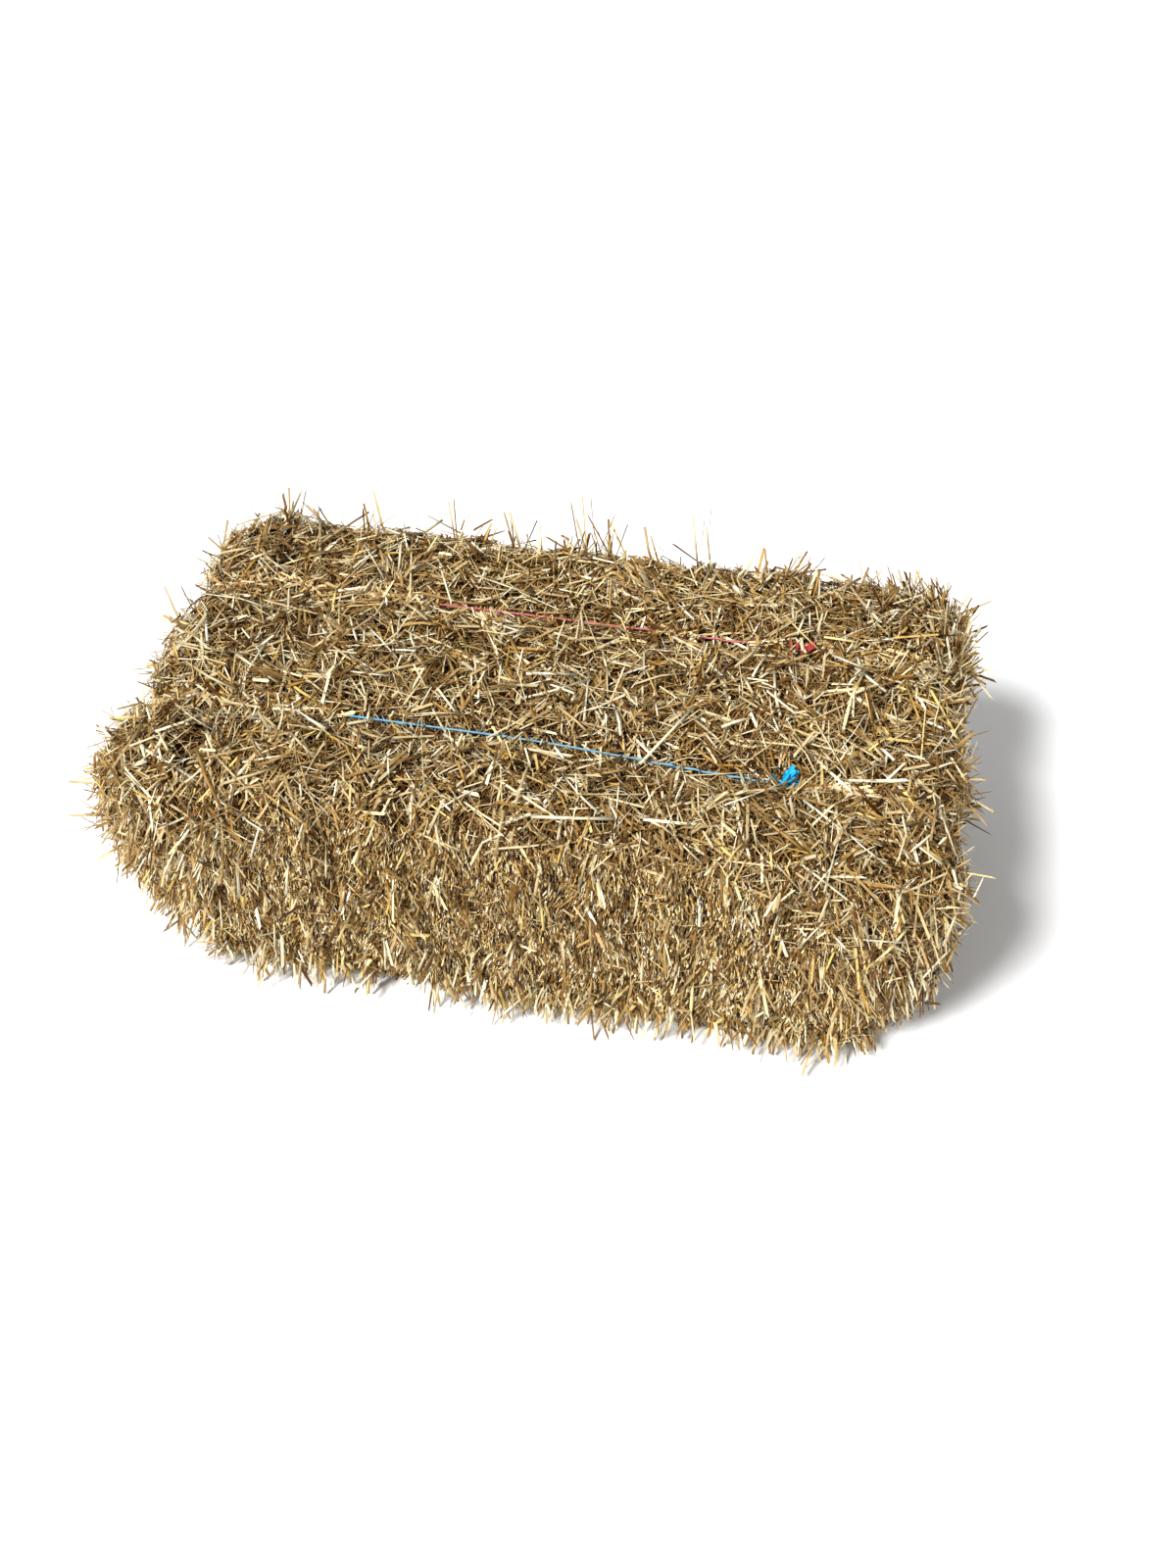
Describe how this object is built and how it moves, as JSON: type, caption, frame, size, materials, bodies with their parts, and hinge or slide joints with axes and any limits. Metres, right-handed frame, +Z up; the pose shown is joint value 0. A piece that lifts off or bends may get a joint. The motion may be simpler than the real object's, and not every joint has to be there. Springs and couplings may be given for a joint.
{
  "type": "small square straw bale",
  "caption": "Small square straw bale: pressed flakes of cut straw held by loops of plastic twine, rough and bristling on every side.",
  "frame": {"origin": "middle of the bale's footprint, on the ground", "axes": "+X along the twines, the bale's long side; -Y the side sheared by the baler's knife; +Z up"},
  "size_m": [1.061, 0.5478, 0.438],
  "materials": {
    "straw": "dry golden straw, slightly waxy stalks, matt in the mass",
    "blue_twine": "twisted split-film polypropylene, sky blue with a soft sheen",
    "red_twine": "twisted split-film polypropylene, red with a soft sheen"
  },
  "bodies": {
    "root": {"flake_01": "straw", "flake_02": "straw", "flake_03": "straw", "flake_04": "straw", "flake_05": "straw", "flake_06": "straw", "flake_07": "straw", "flake_08": "straw", "flake_09": "straw", "flake_10": "straw", "flake_11": "straw", "twine_blue": "blue_twine", "twine_red": "red_twine"}
  },
  "joints": []
}
